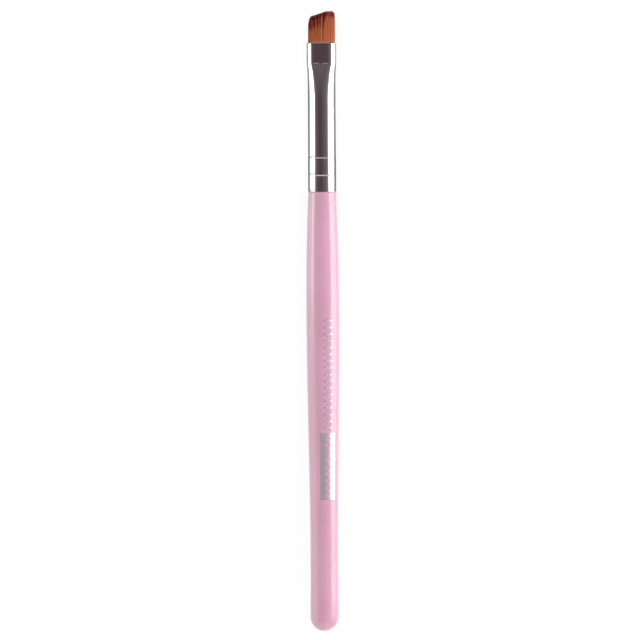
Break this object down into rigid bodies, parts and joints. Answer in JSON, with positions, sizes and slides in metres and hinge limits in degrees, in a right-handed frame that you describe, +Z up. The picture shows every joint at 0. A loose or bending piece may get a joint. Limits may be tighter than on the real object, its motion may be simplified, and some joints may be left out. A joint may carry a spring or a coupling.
{
  "type": "angled eyeshadow brush",
  "caption": "Slim cosmetic brush with a slanted flat tuft of synthetic hair, a crimped metal ferrule pressed flat at its mouth, and a round lacquered handle.",
  "frame": {"origin": "under the middle of the brush, on the surface that it lies on", "axes": "+Y along the handle from the round butt to the hair, +X across the flat of the hair towards the tall side of its cut, +Z up, square to the flat of the hair"},
  "size_m": [0.0088, 0.1649, 0.0088],
  "materials": {
    "lacquered_wood": "gloss",
    "polished_metal": "polished",
    "cured_resin": "gloss",
    "synthetic_hair": "satin"
  },
  "bodies": {
    "root": {"handle": "lacquered_wood", "ferrule": "polished_metal", "glue_plug": "cured_resin", "bristle_tuft": "synthetic_hair"}
  },
  "joints": []
}
